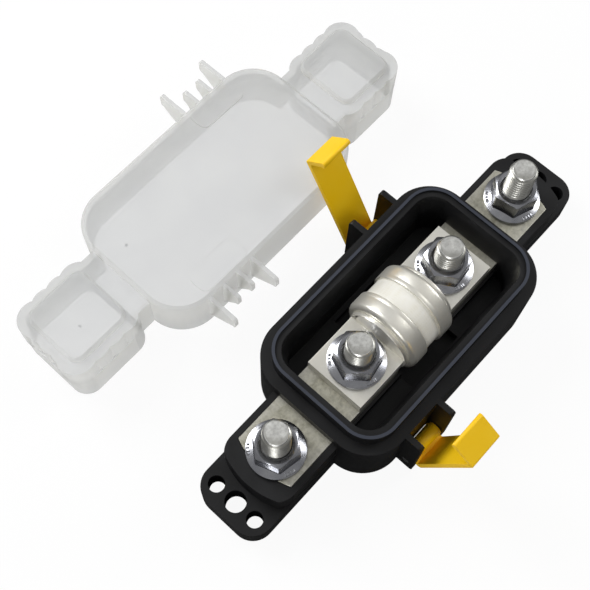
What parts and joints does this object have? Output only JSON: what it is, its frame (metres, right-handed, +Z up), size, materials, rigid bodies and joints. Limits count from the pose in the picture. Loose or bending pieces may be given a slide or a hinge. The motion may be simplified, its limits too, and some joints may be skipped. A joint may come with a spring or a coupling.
{
  "type": "class t fuse block",
  "caption": "Fuse block with a bolt-down cartridge fuse in an open tub, threaded terminals on its ends, hinged side latches, and its translucent cover laid beside it.",
  "frame": {"origin": "centre of the base's mounting face, midway between the fuse studs", "axes": "+X along the row of studs, +Y towards the side where the loose cover lies, +Z up out of the mounting face"},
  "size_m": [0.1836, 0.1767, 0.0502],
  "materials": {
    "black_plastic": "satin, fine moulded grain",
    "tin_plate": "tin-plated copper, mottled",
    "zinc_steel": "bright zinc plating",
    "stud_steel": "rolled thread, matt end",
    "fuse_metal": "silver-plated, satin",
    "tube_resin": "woven glass in resin, off-white",
    "element_metal": "plain",
    "filler_sand": "packed sand",
    "yellow_plastic": "semi-gloss",
    "pin_steel": "bright",
    "cover_plastic": "translucent, satin"
  },
  "bodies": {
    "base": {"base_housing": "black_plastic", "bus_bar_a": "tin_plate", "bus_bar_b": "tin_plate", "terminal_stud_a": "stud_steel", "terminal_stud_b": "stud_steel", "fuse_stud_a": "stud_steel", "fuse_stud_b": "stud_steel", "terminal_nut_a": "zinc_steel", "terminal_nut_b": "zinc_steel", "fuse_nut_a": "zinc_steel", "fuse_nut_b": "zinc_steel", "fuse_tube": "tube_resin", "fuse_cap_a": "fuse_metal", "fuse_cap_b": "fuse_metal", "fuse_blade_a": "fuse_metal", "fuse_blade_b": "fuse_metal", "fuse_element": "element_metal", "fuse_filler": "filler_sand", "latch_pin_a": "pin_steel", "latch_pin_b": "pin_steel", "cover": "cover_plastic"},
    "latch_near": {"latch_a": "yellow_plastic"},
    "latch_far": {"latch_b": "yellow_plastic"}
  },
  "joints": [
    {"name": "latch_a_hinge", "type": "hinge", "parent": "base", "child": "latch_near", "pos_m": [-0.0234, -0.0329, 0.0055], "axis": [-1, 0, 0], "range_deg": [-13.5, 18]},
    {"name": "latch_b_hinge", "type": "hinge", "parent": "base", "child": "latch_far", "pos_m": [0.0234, 0.0329, 0.0055], "axis": [1, 0, 0], "range_deg": [-1.9, 29.6]}
  ]
}
